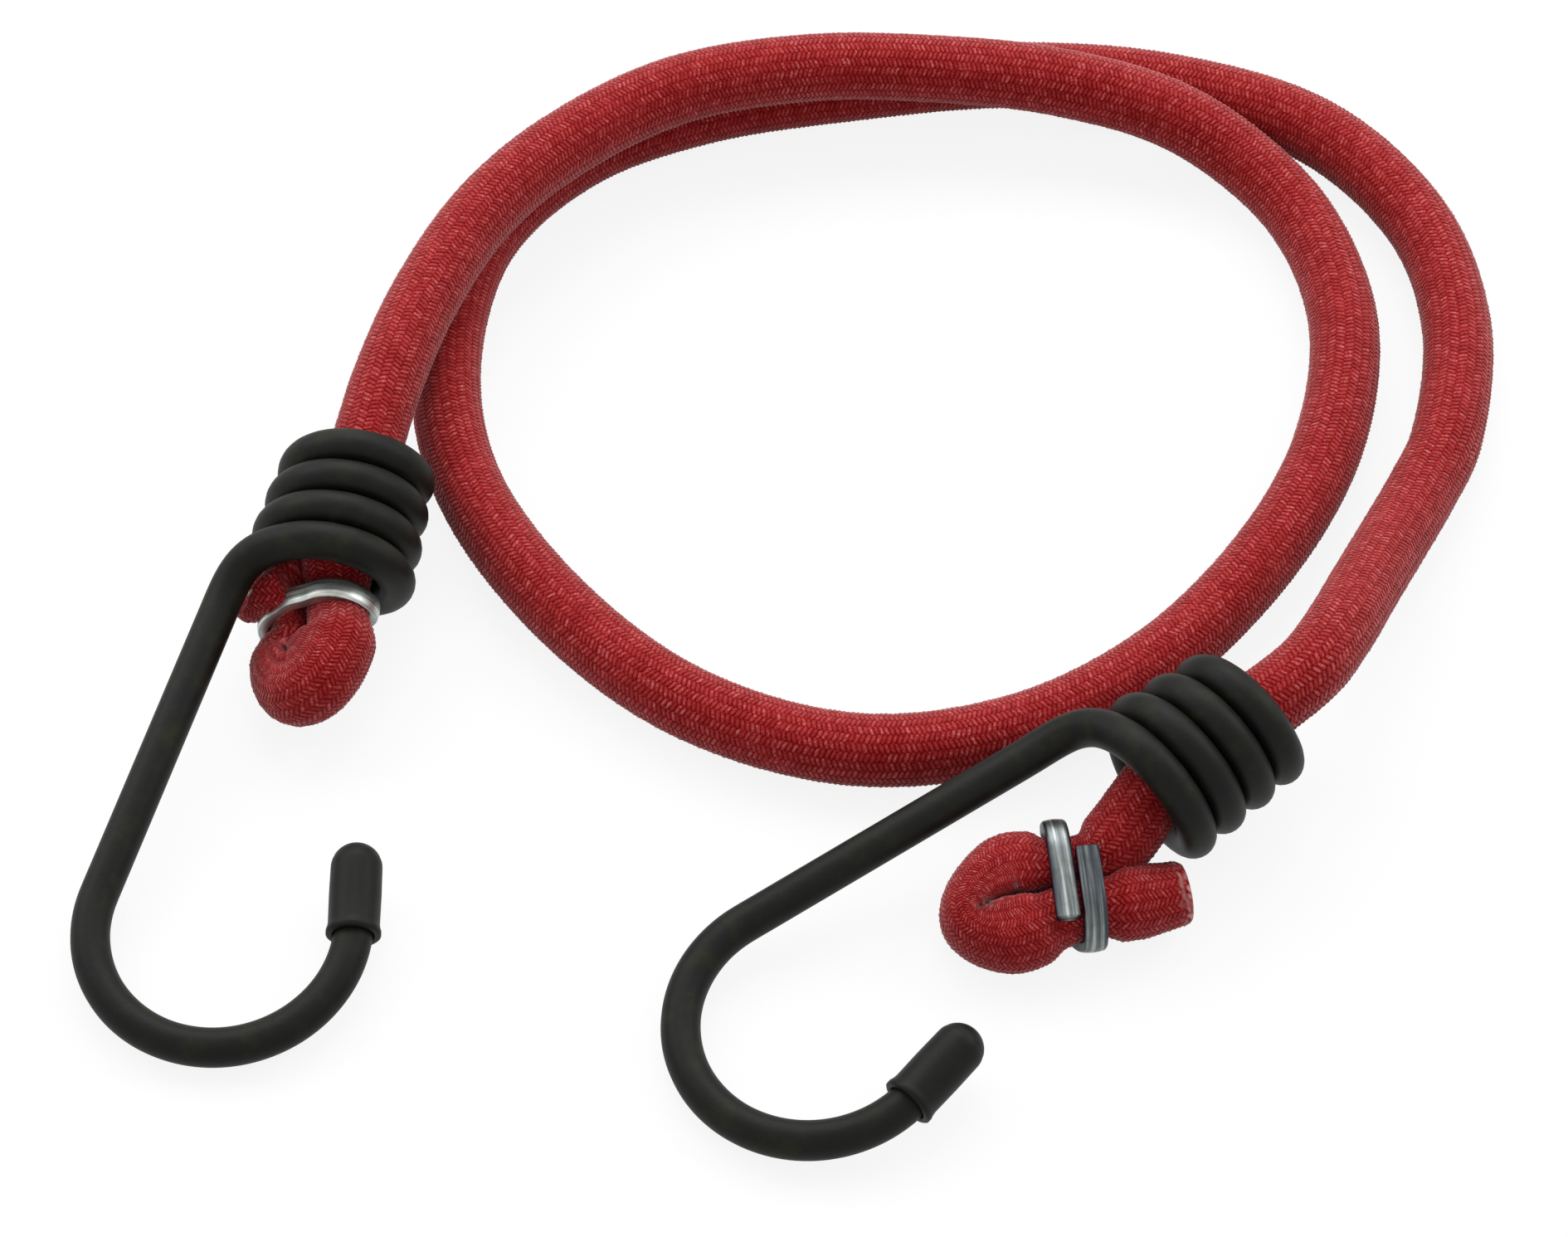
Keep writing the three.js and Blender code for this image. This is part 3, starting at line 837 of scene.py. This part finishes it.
def wire_line():
    """Centre-line of a hook's wire in its own frame, with the direction of its tip."""
    steps = int(COIL_TURNS * COIL_POINTS)
    coil = np.array([coil_point(COIL_TURNS * (1 - i / steps)) for i in range(steps + 1)])
    rear = coil[0] + unit(coil[0] - coil[1]) * REAR_RUN
    coil_end = coil[-1]
    coil_way = unit(coil[-1] - coil[-2])
    bend_middle = np.array((BEND_FORWARD, 0.0, 0.0))
    shank_start = np.array((SHANK_FILLET, -SHANK_OFFSET, SHANK_RISE))
    bend_from = -math.pi / 2 - math.atan((BEND_RADIUS - SHANK_OFFSET) / BEND_FORWARD)
    bend_to = math.pi / 2 + math.radians(TIP_TURN)
    angles = np.linspace(bend_from, bend_to, BEND_POINTS)
    bend = bend_middle + BEND_RADIUS * np.stack([np.cos(angles), np.sin(angles), 0 * angles], axis=-1)
    shank_way = unit(bend[0] - shank_start)
    fillet = bezier(
        coil_end,
        coil_end + coil_way * FILLET_HANDLE_AT_COIL,
        shank_start - shank_way * FILLET_HANDLE_AT_SHANK,
        shank_start,
        FILLET_POINTS,
    )
    shank = shank_start + (bend[0] - shank_start) * np.linspace(0.0, 1.0, SHANK_POINTS)[1:-1, None]
    tip_way = np.array((-math.sin(bend_to), math.cos(bend_to), 0.0))
    tip = bend[-1] + tip_way * (np.arange(1, TIP_POINTS + 1) / TIP_POINTS)[:, None] * TIP_LENGTH
    line = smooth_line(np.vstack([rear, coil, fillet, shank, bend, tip]))
    return Line(line), tip_way


def add_hook(side, end):
    """A coated wire, with the steel showing at its cut end behind the coil."""
    line, tip_way = wire_line()
    count = int(line.length / WIRE_STEP)
    places = line.at(np.linspace(0.0, line.length, count))
    outward = spokes(places, WIRE_SIDES)
    way = unit(places[1] - places[0])
    steel = WIRE_RADIUS - COAT_THICKNESS
    cut_radii = (steel, steel + STEEL_EDGE, WIRE_RADIUS - CUT_BEVEL)
    cut_places = [places[0] + way * along for along in (STEEL_SET_BACK, 0.0, 0.0)]
    places[0] += way * CUT_BEVEL
    places = np.vstack([cut_places, places])
    radii = np.concatenate([cut_radii, np.full(count, WIRE_RADIUS)])
    outward = np.concatenate([outward[:1]] * len(cut_radii) + [outward])
    shape = loft(in_hook(end, places[:, None] + outward * radii[:, None, None]))
    hook = add_piece(f"{side}_hook", shape, [MATERIALS["coat"], MATERIALS["steel"]], WIRE_SHARPNESS)
    cut_face = len(shape[1]) - 2 * WIRE_SIDES
    for polygon in list(hook.data.polygons)[cut_face : cut_face + WIRE_SIDES]:
        polygon.material_index = 1
    stand_for(hook, f"{side}_hook_wire", f"{side}_hook")
    add_cap(side, end, line.points[-1], tip_way)


def cap_profile():
    """Radius and height of a tip cap from the inside of its top, round the mouth, to the dome's top."""
    edge = CAP_RADIUS + CAP_LIP
    seam = CAP_LENGTH - SEAM_BELOW_TOP
    profile = [(CAP_BORE / 2, CAP_DEPTH), (CAP_BORE, CAP_DEPTH - CAP_LIP)]
    profile += [(CAP_BORE + out * CAP_LIP, up * CAP_LIP) for out, up in MOUTH_INSIDE]
    profile += [(edge + out * CAP_LIP, up * CAP_LIP) for out, up in MOUTH_OUTSIDE]
    profile.append((CAP_RADIUS, NECK_LIPS * CAP_LIP))
    profile.append((CAP_RADIUS + SWELL_LIPS * CAP_LIP, SWELL_SHARE * CAP_LENGTH))
    for angle in np.radians(np.linspace(0.0, DOME_ANGLE, DOME_POINTS)):
        radius = CAP_RADIUS * math.cos(angle)
        height = CAP_LENGTH - CAP_RADIUS + CAP_RADIUS * math.sin(angle)
        from_seam = (height - seam) / (SEAM_HALF_LIPS * CAP_LIP)
        groove = SEAM_DEPTH_LIPS * CAP_LIP * math.exp(-(from_seam**2))
        profile.append((radius - groove, height))
    return profile


def add_cap(side, end, tip, way):
    outward = round_about(np.cross(UP, way), UP, CAP_SIDES)
    mouth = tip + way * (JOINT_GAP - CAP_DEPTH)
    rings = [mouth + way * height + outward * radius for radius, height in cap_profile()]
    shape = loft(in_hook(end, np.array(rings)))
    cap = add_piece(f"{side}_cap", shape, [MATERIALS["vinyl"]], CAP_SHARPNESS)
    stand_for(cap, f"{side}_tip_cap", f"{side}_hook")


# Stop loop

def ring_axes(end):
    """Middle of a hog ring, with the directions through it, across to the tail and out of its legs."""
    ring = end["ring"]
    depth = STRAND_OFFSET * abs(math.sin(math.radians(ring["roll"]))) + RING_END_RADIUS
    height = FLOOR_GAP + depth + RING_THICKNESS / 2 + RING_DOME
    middle = beside_hook(end, ring["ahead"], ring["left"], height)
    through, left = level_axes(end["heading"] + ring["turn"])
    across = turned(left * ring["tail_side"], through, ring["roll"])
    return middle, through, across, np.cross(through, across)


def fold_share(end, ahead):
    """How far towards the tip of the fold a place lies, as a share of the way from the ring."""
    return np.maximum(0.0, ahead / (end["fold"]["reach"] + end["fold"]["apex"]))


def stop_line(end):
    """Centre-line of a stop loop: out of the coil, through the ring, round the fold and back."""
    middle, through, across, _ = ring_axes(end)
    fold = end["fold"]

    def beside(ahead, side):
        share = fold_share(end, ahead)
        drifted = side + share * fold["drift"]
        return middle + through * ahead + across * drifted - UP * share * fold["droop"]

    held = end["ring"]["slant"] * RING_LEG_SPACING / 2
    points = coil_axis(end, -CAD_COIL_LENGTH / 2 + JOINT_GAP / 2, -CAD_COIL_LENGTH / 4)
    points.append(beside(-PINCH_HALF, -STRAND_OFFSET))
    points.append(beside(held + STRAIGHT_HALF, -STRAND_OFFSET))
    for angle in np.linspace(0.0, math.pi, FOLD_POINTS):
        ahead = fold["reach"] + fold["apex"] * math.sin(angle)
        points.append(beside(ahead, -fold["radius"] * math.cos(angle)))
    points.append(beside(-held + STRAIGHT_HALF, STRAND_OFFSET))
    points.append(beside(-held - STRAIGHT_HALF, STRAND_OFFSET))
    for ahead, left, height in end["tail"]:
        points.append(beside_hook(end, ahead, left, height))
    return Line(smooth_line(points))


def stitch_places(line, end):
    """Distances along a stop loop of its rows of stitches, closer where its fold stretches them."""
    middle, through, _, _ = ring_axes(end)
    along = np.linspace(0.0, line.length, int(line.length / WIRE_STEP) * FINE_POINTS)
    ahead = (line.at(along) - middle) @ through
    fold = end["fold"]
    dense_from = DENSE_FROM_REACH_SHARE * fold["reach"]
    dense_at = fold["reach"] + DENSE_APEX_SHARE * fold["apex"]
    density = 1.0 + FOLD_STITCHES * smoothstep(ahead, dense_from, dense_at)
    mean_density = (density[1:] + density[:-1]) / 2
    steps = np.diff(along) * mean_density * STITCH_ROWS / STITCH
    counted = np.concatenate([[0.0], np.cumsum(steps)])
    rows = int(round(counted[-1])) + 1
    return np.interp(np.linspace(0.0, counted[-1], rows), counted, along)


def fill_fold(rings, places, end):
    """Fills out the inside of a fold, where the cord is squashed flat against itself."""
    middle, through, _, out = ring_axes(end)
    fold = end["fold"]
    tangents = unit(np.gradient(places, axis=0))
    inward = unit(np.cross(out, tangents))[:, None, :]
    upward = np.cross(tangents[:, None, :], inward)
    offset = rings - places[:, None, :]
    inner = (offset * inward).sum(axis=-1)
    upper = (offset * upward).sum(axis=-1)
    reach = np.hypot(inner, upper)
    power = fold["corners"]
    corners = np.abs(inner / reach) ** power + np.abs(upper / reach) ** power
    fuller = np.where(inner > 0.0, corners ** (-1.0 / power), 1.0)
    ahead = (places - middle) @ through
    filled = smoothstep(ahead, 0.0, fold["reach"] + FILLED_APEX_SHARE * fold["apex"])[:, None]
    folded = smoothstep(ahead, fold["reach"], fold["reach"] + fold["apex"])[:, None]
    inside, outside = fold["squash"]
    high = 1.0 + (fuller - 1.0) * filled
    wide = high * (1.0 + (np.where(inner > 0.0, inside, outside) - 1.0) * folded)
    moved_in = inner * (wide - 1.0)
    moved_up = upper * (high - 1.0)
    return rings + inward * moved_in[..., None] + upward * moved_up[..., None]


def press_strands(rings, rows_before_fold, end):
    """Flattens the two strands of a stop loop where they lie against each other."""
    middle, through, across, _ = ring_axes(end)
    fold = end["fold"]
    offset = rings - middle
    ahead = offset @ through
    side = offset @ across - fold_share(end, ahead) * fold["drift"]
    way = np.where(rows_before_fold, -1.0, 1.0)[:, None]
    depth = side * way
    pressed = CREASE_GAP + CREASE_SOFTNESS * np.logaddexp(0.0, (depth - CREASE_GAP) / CREASE_SOFTNESS)
    pressed_to = fold["reach"] + PRESSED_APEX_SHARE * fold["apex"]
    held = smoothstep(ahead, -PINCH_HALF - CREASE_FADE, -PINCH_HALF)
    held *= 1.0 - smoothstep(ahead, fold["reach"], pressed_to)
    moved = (pressed - depth) * held * way
    return rings + across * moved[..., None]


def relax(rings, places):
    """Evens out a skin where its rows run into each other at the inside of a bend."""
    tangents = unit(np.diff(places, axis=0))[:, None, :]
    for _ in range(RELAX_ROUNDS):
        steps = (np.diff(rings, axis=0) * tangents).sum(axis=-1)
        tight = 1.0 - smoothstep(np.minimum(steps[:-1], steps[1:]), 0.0, TIGHT_STITCHES * STITCH)
        evened = (rings[:-2] + rings[2:]) / 2
        rings[1:-1] += (evened - rings[1:-1]) * tight[..., None] / 2
    return rings


def make_room(points, end):
    """Presses a stop loop in where its hook's wire passes as it swings."""
    line, _ = wire_line()
    wire = line.at(np.arange(0.0, line.length, WIRE_STEP))
    wire = wire[wire[:, 0] < SWING_REACH]
    place, *axes = hook_axes(end)
    shape = points.shape
    points = (points.reshape(-1, 3) - place) @ np.array(axes).T
    angles = [math.radians(limit * share) for limit in end["swing"] for share in SWING_SHARES]
    for angle in angles * SWING_ROUNDS:
        left = wire[:, 1] * math.cos(angle) + wire[:, 2] * math.sin(angle)
        upward = wire[:, 2] * math.cos(angle) - wire[:, 1] * math.sin(angle)
        swung = np.stack([wire[:, 0], left, upward], axis=-1)
        nearest = ((swung**2).sum(axis=1) - 2 * points @ swung.T).argmin(axis=1)
        away = points - swung[nearest]
        distance = np.linalg.norm(away, axis=1)
        short = np.maximum(WIRE_RADIUS + SWING_GAP - distance, 0.0)
        points = points + away * (short / distance)[:, None]
    return in_hook(end, points).reshape(shape)


def add_stop_loop(side, end, body):
    """The folded end of the cord, with the frayed rim of its cut tail."""
    line = stop_line(end)
    middle, through, _, _ = ring_axes(end)
    distances = stitch_places(line, end)
    places = line.at(distances)
    ahead = (places - middle) @ through
    released = smoothstep(np.abs(ahead) - PINCH_HALF, 0.0, PINCH_RAMP)
    radii = HELD_RADIUS + (CORD_RADIUS - HELD_RADIUS) * released
    to_end = line.length - distances
    radii *= end["tail_taper"] + (1 - end["tail_taper"]) * smoothstep(to_end, 0.0, TAPER_LENGTH)
    rings = fill_fold(tube(places, radii), places, end)
    rows_before_fold = np.arange(len(places)) < np.argmax(ahead)
    rings = relax(press_strands(rings, rows_before_fold, end), places)
    rings = weave(rings, FOLD_SLANT)
    way = unit(places[-1] - places[-2])
    tail = places[-1]
    outward = unit(rings[-1] - tail - np.outer((rings[-1] - tail) @ way, way))
    rim = [tail + way * along + outward * radii[-1] * share for share, along in RIM]
    rings = rest_on_floor(make_room(np.concatenate([rings, np.array(rim)]), end))
    fray = smoothstep(RANDOM.random(rings.shape[:2]), *FRAY_SPAN)
    to_rim = np.concatenate([to_end, np.zeros(len(rim))])
    wear = fray * (1.0 - smoothstep(to_rim, 0.0, FRAY_LENGTH))[:, None]
    shape = loft(rings, np.arange(len(rings)) / STITCH_ROWS)
    loop = add_piece(f"{side}_stop_loop", shape, [MATERIALS["braid"]], BRAID_SHARPNESS)
    set_values(loop, "wear", wear)
    stand_for(loop, f"{side}_end_sheath", body)
    add_cut_strands(side, end, tail, way, radii[-1] * CORE_SHARE, body)


def add_cut_strands(side, end, tail, way, reach, body):
    """The cut ends of the rubber strands in the mouth of a tail."""
    across = unit(np.cross(UP, way))
    upward = np.cross(way, across)
    strand = reach / CORE_IN_STRANDS
    outward = round_about(across, upward, STRAND_SIDES)
    vertices, faces, uvs = [], [], []
    for layer, count in enumerate(STRAND_LAYERS):
        for turn in range(count):
            angle = 2 * math.pi * turn / count + LAYER_TURN * layer
            aside = across * math.cos(angle) + upward * math.sin(angle)
            middle = tail + aside * layer * LAYER_STEP_IN_STRANDS * strand
            cut = STRAND_UNEVENNESS * RANDOM.random()
            run = np.linspace(-STRAND_DEPTH, cut - STRAND_ROUNDING * strand, STRAND_POINTS)
            profile = [(1.0, along) for along in run]
            profile += [(share, cut + rise * strand) for share, rise in STRAND_END]
            rings = [middle + way * along + outward * strand * share for share, along in profile]
            rod_vertices, rod_faces, rod_uvs = loft(np.array(rings))
            first = sum(len(rod) for rod in vertices)
            faces += [[first + i for i in face] for face in rod_faces]
            vertices.append(rod_vertices)
            uvs.append(rod_uvs)
    shape = (make_room(np.vstack(vertices), end), faces, np.vstack(uvs))
    strands = add_piece(f"{side}_cut_strands", shape, [MATERIALS["rubber"]], STRAND_SHARPNESS)
    stand_for(strands, f"{side}_end_core", body)


# Hog ring

def bar_section():
    """Section of the ring's flat wire, with round edges and slightly domed faces."""
    half_thickness = RING_THICKNESS / 2
    flat = RING_WIDTH / 2 - RING_CORNER
    section = []
    for face in (1, -1):
        for share in np.linspace(1.0, -1.0, FACE_POINTS):
            dome = RING_DOME * (1.0 - share * share)
            section.append((face * share * flat, face * (half_thickness + dome)))
        for degrees in CORNER_ANGLES:
            angle = math.radians(degrees)
            lift = (half_thickness - RING_CORNER) * np.sign(180.0 - degrees)
            across = -flat + RING_CORNER * math.cos(angle)
            section.append((face * across, face * (lift + RING_CORNER * math.sin(angle))))
    return np.array(section)


def ring_stations(end):
    """Places and outward directions along a hog ring, from the end of one leg to the other's."""
    middle, through, across, out = ring_axes(end)
    ring = end["ring"]
    shift = ring["slant"] * RING_LEG_SPACING / 2
    places, outwards = [], []

    def station(side, lift, angle, share):
        places.append(middle + through * shift * (1 - 2 * share) + across * side + out * lift)
        outwards.append(across * math.cos(angle) + out * math.sin(angle))

    def sway(share):
        return smoothstep(share, ring["sway"], ring["sway"] + SWAY_SPAN) / 2

    top = math.pi / 2
    first, second = ring["legs_past_middle"]
    width = 2 * STRAND_OFFSET
    for side in np.linspace(first, -STRAND_OFFSET, LEG_POINTS)[:-1]:
        station(side, RING_END_RADIUS, top, 0.0)
    for share in np.linspace(0.0, 1.0, TURN_POINTS):
        angle = top + math.pi * share
        side = RING_END_RADIUS * math.cos(angle) - STRAND_OFFSET
        station(side, RING_END_RADIUS * math.sin(angle), angle, sway(share))
    for share in np.linspace(0.0, 1.0, BACK_POINTS)[1:-1]:
        crown = ring["crown"] * math.sin(math.pi * share) ** 2
        lean = ring["crown"] * math.pi / width * math.sin(2 * math.pi * share)
        station(width * share - STRAND_OFFSET, -RING_END_RADIUS - crown, 3 * top - lean, 0.5)
    for share in np.linspace(0.0, 1.0, TURN_POINTS):
        angle = math.pi * share - top
        side = RING_END_RADIUS * math.cos(angle) + STRAND_OFFSET
        station(side, RING_END_RADIUS * math.sin(angle), angle, 1.0 - sway(1.0 - share))
    for side in np.linspace(STRAND_OFFSET, -second, LEG_POINTS)[1:]:
        station(side, RING_END_RADIUS, top, 1.0)
    return np.array(places), np.array(outwards), through


def add_ring(side, end, body):
    """A flat wire bent round the two strands, with its two ends bevelled."""
    places, outwards, through = ring_stations(end)
    section = bar_section()

    def bar(place, outward, scale):
        return place + through * scale * section[:, :1] + outward * scale * section[:, 1:]

    bevelled = 1.0 - 2 * RING_BEVEL / RING_THICKNESS
    start = bar(places[0], outwards[0], bevelled)
    finish = bar(places[-1], outwards[-1], bevelled)
    way_in = unit(places[1] - places[0])
    way_out = unit(places[-1] - places[-2])
    places[0] += way_in * RING_BEVEL
    places[-1] -= way_out * RING_BEVEL
    between = [bar(place, outward, 1.0) for place, outward in zip(places, outwards)]
    rings = np.array([start, *between, finish])
    ring = add_piece(f"{side}_ring", loft(rings), [MATERIALS["zinc"]], RING_SHARPNESS)
    # Painted shade: the ring darkens towards its edges, and along its last leg where this is given
    shaded_edges = smoothstep(np.abs(section[:, 0]) / (RING_WIDTH / 2), *EDGE_SHADE_SPAN) * end["ring"]["edge_shade"]
    shaded_leg = smoothstep(np.linspace(0.0, 1.0, len(rings)), *LEG_SHADE_SPAN) * end["ring"]["leg_shade"]
    set_values(ring, "edge", np.maximum(shaded_edges, shaded_leg[:, None]))
    # Painted light: the ring gets its share of the brighter copy of the zinc's colour
    set_values(ring, "painted_light", np.full(rings.shape[:2], end["ring"]["painted_light"]))
    stand_for(ring, f"{side}_hog_ring", body)


# Stage

def add_floor():
    nodes = Nodes(bpy.data.materials.new("floor"))
    shown = nodes.add("ShaderNodeEmission", {"Color": WHITE, "Strength": FLOOR_SHOWN})
    shaded = nodes.add("ShaderNodeBsdfDiffuse", {"Color": FLOOR_SHADED})
    pale = nodes.add("ShaderNodeAddShader", {0: shown.outputs[0], 1: shaded.outputs[0]})
    bounce = nodes.add("ShaderNodeBsdfDiffuse", {"Color": FLOOR_BOUNCE})
    inputs = {0: nodes.seen_directly(), 1: bounce.outputs[0], 2: pale.outputs[0]}
    material = nodes.finish(nodes.add("ShaderNodeMixShader", inputs))
    signs = ((-1, -1), (1, -1), (1, 1), (-1, 1))
    mesh = bpy.data.meshes.new("floor")
    mesh.from_pydata([(x * FLOOR_HALF, y * FLOOR_HALF, 0.0) for x, y in signs], [], [(0, 1, 2, 3)])
    mesh.materials.append(material)
    link("floor", mesh)


def add_world():
    nodes = Nodes(bpy.data.worlds.new("surround"))
    soft = nodes.add("ShaderNodeBackground", {"Color": WHITE, "Strength": WORLD_LIGHT})
    white = nodes.add("ShaderNodeBackground", {"Color": WHITE, "Strength": 1.0})
    inputs = {0: nodes.seen_directly(), 1: soft.outputs[0], 2: white.outputs[0]}
    mixed = nodes.add("ShaderNodeMixShader", inputs)
    bpy.context.scene.world = nodes.finish(mixed, "ShaderNodeOutputWorld")


def aim(thing, place, target):
    thing.location = place
    thing.rotation_mode = "QUATERNION"
    thing.rotation_quaternion = (Vector(target) - Vector(place)).to_track_quat("-Z", "Y")


def add_lamps():
    for name, settings in LAMPS.items():
        lamp = bpy.data.lights.new(name, "AREA")
        lamp.shape = "DISK"
        lamp.size = settings["size"]
        lamp.energy = settings["power"]
        aim(link(name, lamp), settings["place"], LAMP_TARGET)


def add_camera():
    camera = bpy.data.cameras.new("camera")
    camera.lens = CAMERA_LENS
    camera.sensor_width = SENSOR_WIDTH
    camera.sensor_fit = "HORIZONTAL"
    camera.clip_start = CLIP_START
    camera.clip_end = CLIP_END
    thing = link("camera", camera)
    aim(thing, CAMERA_PLACE, CAMERA_TARGET)
    bpy.context.scene.camera = thing


bpy.context.scene.view_settings.view_transform = "Standard"
add_camera()
add_free_cord()
for side, end, body in (("left", LEFT, "cord"), ("right", RIGHT, "right_end")):
    add_stop_loop(side, end, body)
    add_ring(side, end, body)
    add_hook(side, end)
add_floor()
add_world()
add_lamps()
